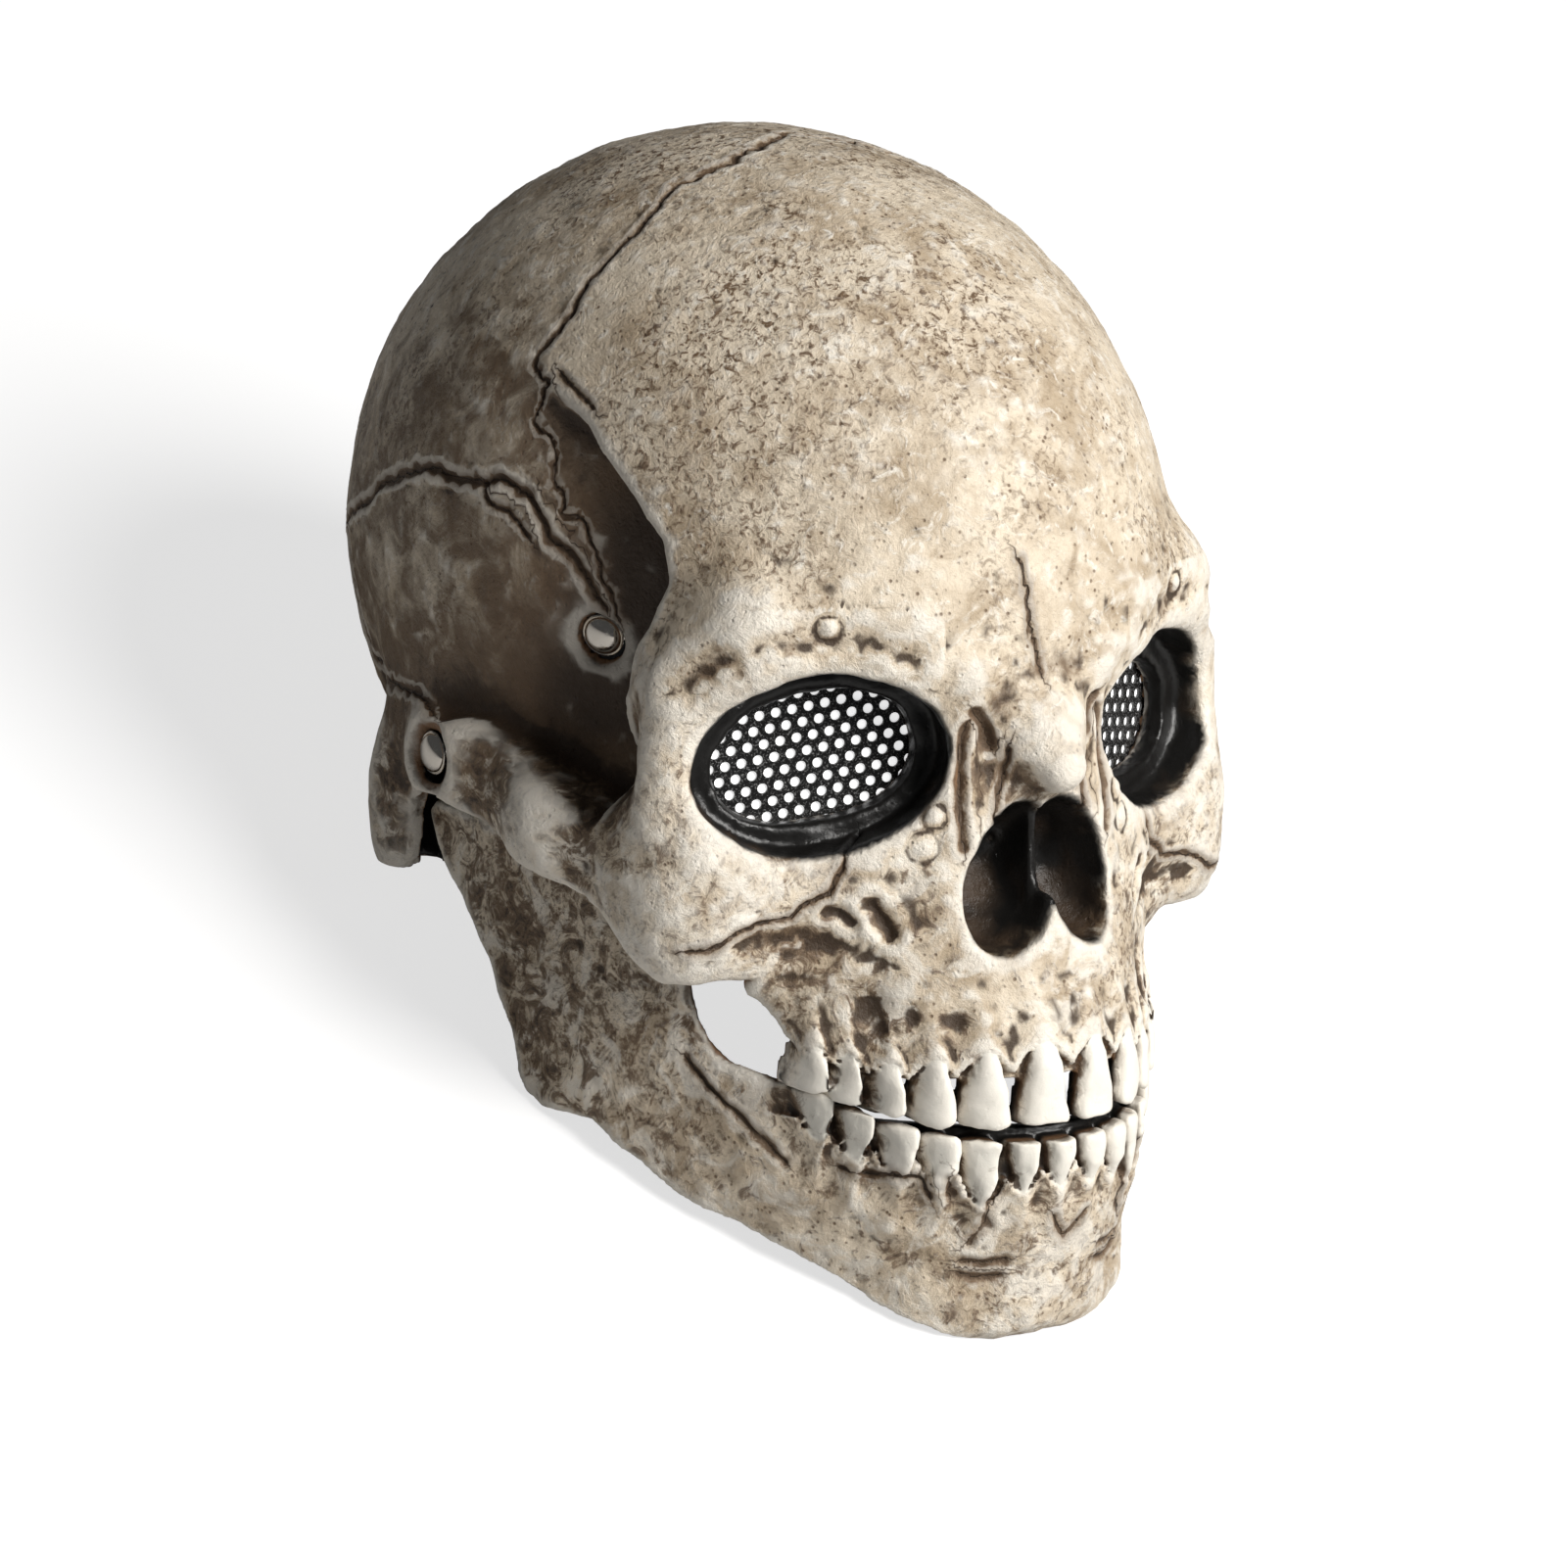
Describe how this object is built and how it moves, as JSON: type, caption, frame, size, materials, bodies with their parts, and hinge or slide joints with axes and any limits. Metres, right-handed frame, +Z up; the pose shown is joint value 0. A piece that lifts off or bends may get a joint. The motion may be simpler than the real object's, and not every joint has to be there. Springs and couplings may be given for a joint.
{
  "type": "full-head skull mask",
  "caption": "Full-head cast skull mask with a hinged jaw on ear rivets and perforated black eye screens, standing on chin and nape.",
  "frame": {"origin": "centre of the footprint box on the surface that the mask stands on", "axes": "+Z up, the face looks towards -Y and up, the mask's own right side is at -X"},
  "size_m": [0.182, 0.2826, 0.2018],
  "materials": {
    "bone_cast": "painted cast latex, ivory with brown washes, semi-matte",
    "black_screen": "black perforated sheet, satin",
    "nickel": "darkened nickel, polished",
    "black_strap": "black strap, matte"
  },
  "bodies": {
    "head": {"skull": "bone_cast", "eye_screen_right": "black_screen", "eye_screen_left": "black_screen", "ear_rivet_right": "nickel", "ear_rivet_left": "nickel", "temple_rivet_right": "nickel", "temple_rivet_left": "nickel"},
    "jaw": {"jaw": "bone_cast", "jaw_tab_right": "black_strap", "jaw_tab_left": "black_strap"}
  },
  "joints": [
    {"name": "jaw_hinge", "type": "hinge", "parent": "head", "child": "jaw", "pos_m": [0, 0.01654, 0.06401], "axis": [1, 0, 0], "range_deg": [0, 15], "stiffness_Nm_per_rad": 0.2, "springref_deg": -34.38}
  ]
}
